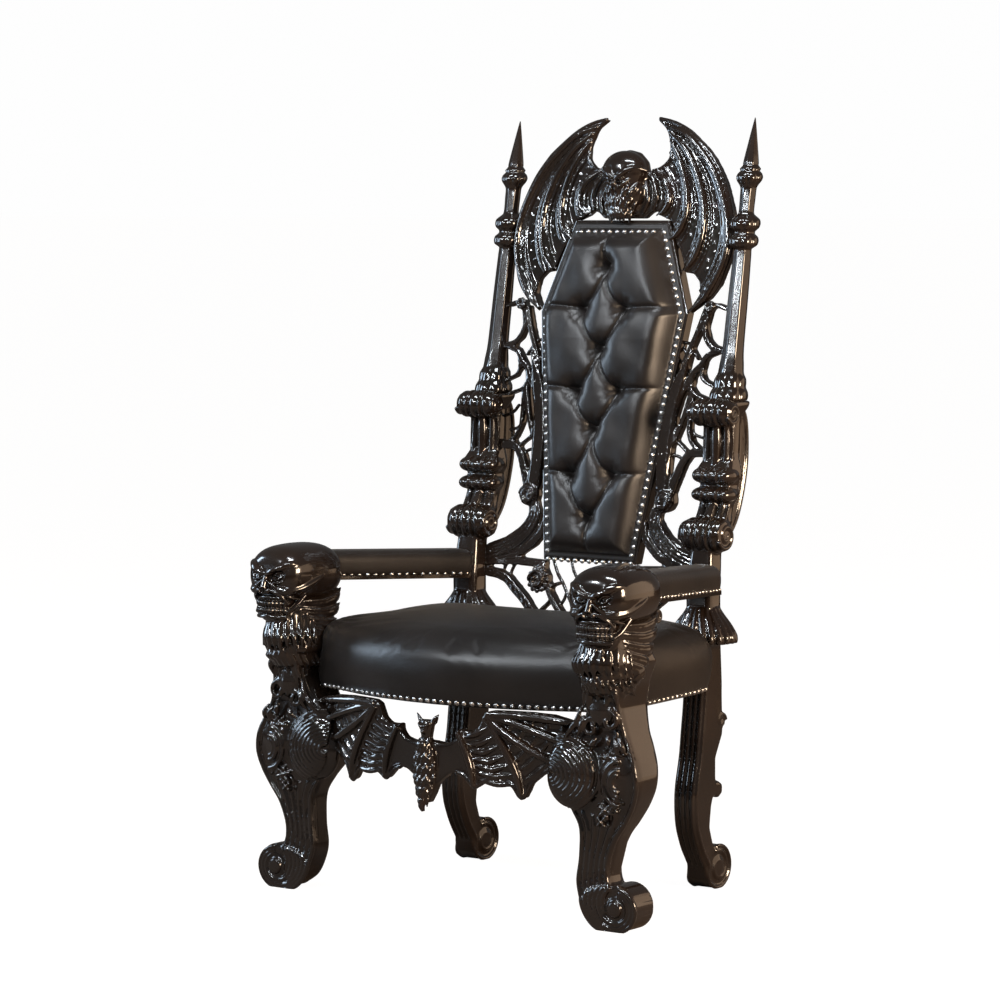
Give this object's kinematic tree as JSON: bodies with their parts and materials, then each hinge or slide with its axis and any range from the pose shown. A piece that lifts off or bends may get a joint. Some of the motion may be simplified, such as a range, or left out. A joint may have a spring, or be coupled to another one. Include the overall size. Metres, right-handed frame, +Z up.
{
  "type": "carved throne chair",
  "caption": "High-backed carved throne chair with a buttoned coffin-shaped back pad, skull arm ends, bat-wing crest and apron, and scroll feet.",
  "frame": {"origin": "centre of the bounding box on the floor plane", "axes": "+Z up, the sitter faces -Y, +X on the sitter's left"},
  "size_m": [1.09, 0.8942, 1.83],
  "materials": {
    "lacquered_wood": "high-gloss dark lacquer",
    "black_leather": "smooth, satin sheen"
  },
  "bodies": {
    "root": {"front_rail": "lacquered_wood", "back_rail": "lacquered_wood", "left_side_rail": "lacquered_wood", "right_side_rail": "lacquered_wood", "left_front_leg": "lacquered_wood", "right_front_leg": "lacquered_wood", "left_back_post": "lacquered_wood", "right_back_post": "lacquered_wood", "left_arm_rail": "lacquered_wood", "right_arm_rail": "lacquered_wood", "left_spear": "lacquered_wood", "right_spear": "lacquered_wood", "web_tracery": "lacquered_wood", "coffin_board": "lacquered_wood", "bat_crest": "lacquered_wood", "bat_apron": "lacquered_wood", "seat_cushion": "black_leather", "left_arm_pad": "black_leather", "right_arm_pad": "black_leather", "coffin_pad": "black_leather"}
  },
  "joints": []
}
